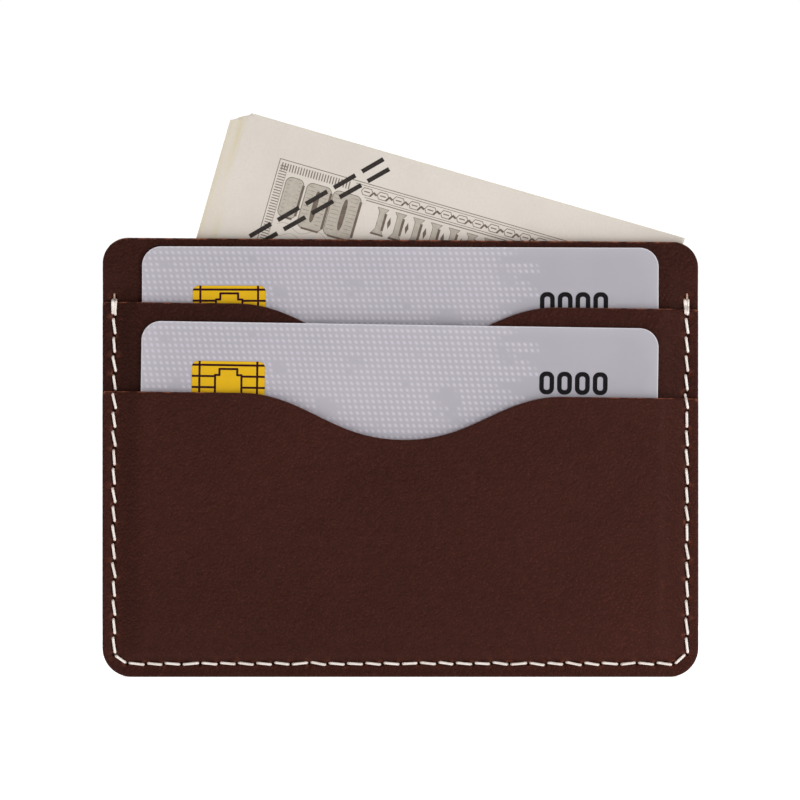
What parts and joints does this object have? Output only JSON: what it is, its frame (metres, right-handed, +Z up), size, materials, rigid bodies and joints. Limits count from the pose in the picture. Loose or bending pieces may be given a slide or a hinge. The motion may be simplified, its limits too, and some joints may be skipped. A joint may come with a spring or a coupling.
{
  "type": "minimalist wallet",
  "caption": "Slim stitched leather card holder with stepped front pockets, thumb notches, an open banknote pocket, two chip cards and a folded banknote.",
  "frame": {"origin": "middle of the bottom edge: centre of the box in X and Y, on the plane of the bottom edge in Z", "axes": "+Z up towards the pocket mouths, +X to the right seen from the front, -Y out of the front, +Y out of the back"},
  "size_m": [0.0988, 0.0072, 0.0934],
  "materials": {
    "leather": "fine-grained dark brown leather, low gloss",
    "thread": "waxed off-white linen thread",
    "card": "satin pale grey laminate",
    "contact": "gold-plated contacts",
    "carrier": "dark glass-epoxy tape",
    "resin": "black encapsulation resin",
    "silicon": "polished silicon",
    "stripe": "dark magnetic tape",
    "signature": "matt white writing panel",
    "note_paper": "matt cotton paper"
  },
  "bodies": {
    "wallet": {"back_panel": "leather", "front_panel": "leather", "upper_pocket": "leather", "lower_pocket": "leather", "seam_needle_thread": "thread", "seam_bobbin_thread": "thread", "stop_needle_thread": "thread", "stop_bobbin_thread": "thread"},
    "upper_card": {"upper_card_body": "card", "upper_chip_contacts": "contact", "upper_chip_carrier": "carrier", "upper_chip_resin": "resin", "upper_chip_die": "silicon", "upper_magnetic_stripe": "stripe", "upper_signature_panel": "signature"},
    "lower_card": {"lower_card_body": "card", "lower_chip_contacts": "contact", "lower_chip_carrier": "carrier", "lower_chip_resin": "resin", "lower_chip_die": "silicon", "lower_magnetic_stripe": "stripe", "lower_signature_panel": "signature"},
    "banknote": {"banknote": "note_paper"}
  },
  "joints": [
    {"name": "upper_card_slide", "type": "slide", "parent": "wallet", "child": "upper_card", "axis": [0, 0, 1], "range_m": [0, 0.06]},
    {"name": "lower_card_slide", "type": "slide", "parent": "wallet", "child": "lower_card", "axis": [0, 0, 1], "range_m": [0, 0.06]},
    {"name": "banknote_slide", "type": "slide", "parent": "wallet", "child": "banknote", "axis": [0, 0, 1], "range_m": [0, 0.068]}
  ]
}
